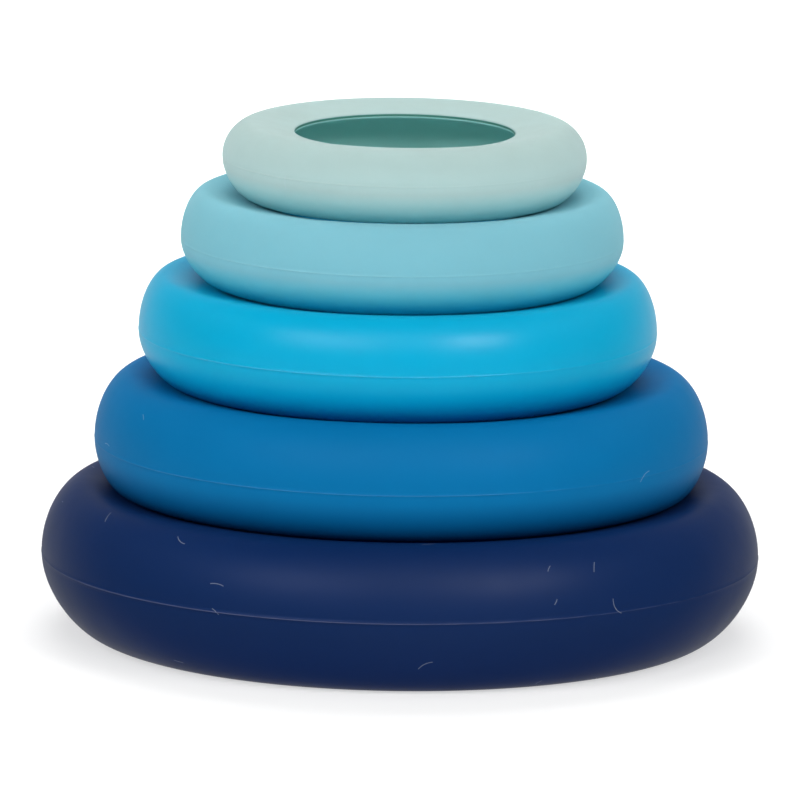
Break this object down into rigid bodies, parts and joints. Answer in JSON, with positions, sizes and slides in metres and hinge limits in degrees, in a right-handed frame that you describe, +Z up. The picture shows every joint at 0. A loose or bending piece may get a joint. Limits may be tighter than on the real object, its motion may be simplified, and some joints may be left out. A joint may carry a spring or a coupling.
{
  "type": "stacking ring toy",
  "caption": "Soft hollow silicone rings in graded sizes that rest rim in rim as a tapering tower, with open middles and no post.",
  "frame": {"origin": "centre of the largest ring's flat foot, on the surface that the stack stands on", "axes": "+Z up along the axis that the rings share"},
  "size_m": [0.1304, 0.1304, 0.093],
  "materials": {
    "navy_silicone": "satin, slightly dusty moulded silicone",
    "blue_silicone": "satin, slightly dusty moulded silicone",
    "cyan_silicone": "satin, slightly dusty moulded silicone",
    "light_blue_silicone": "satin, slightly dusty moulded silicone",
    "mint_silicone": "satin, slightly dusty moulded silicone"
  },
  "bodies": {
    "navy": {"navy_ring": "navy_silicone"},
    "blue": {"blue_ring": "blue_silicone"},
    "cyan": {"cyan_ring": "cyan_silicone"},
    "light_blue": {"light_blue_ring": "light_blue_silicone"},
    "mint": {"mint_ring": "mint_silicone"}
  },
  "joints": [
    {"name": "blue_lift", "type": "slide", "parent": "navy", "child": "blue", "axis": [0, 0, 1], "range_m": [0, 0.06]},
    {"name": "cyan_lift", "type": "slide", "parent": "blue", "child": "cyan", "axis": [0, 0, 1], "range_m": [0, 0.06]},
    {"name": "light_blue_lift", "type": "slide", "parent": "cyan", "child": "light_blue", "axis": [0, 0, 1], "range_m": [0, 0.06]},
    {"name": "mint_lift", "type": "slide", "parent": "light_blue", "child": "mint", "axis": [0, 0, 1], "range_m": [0, 0.06]}
  ]
}
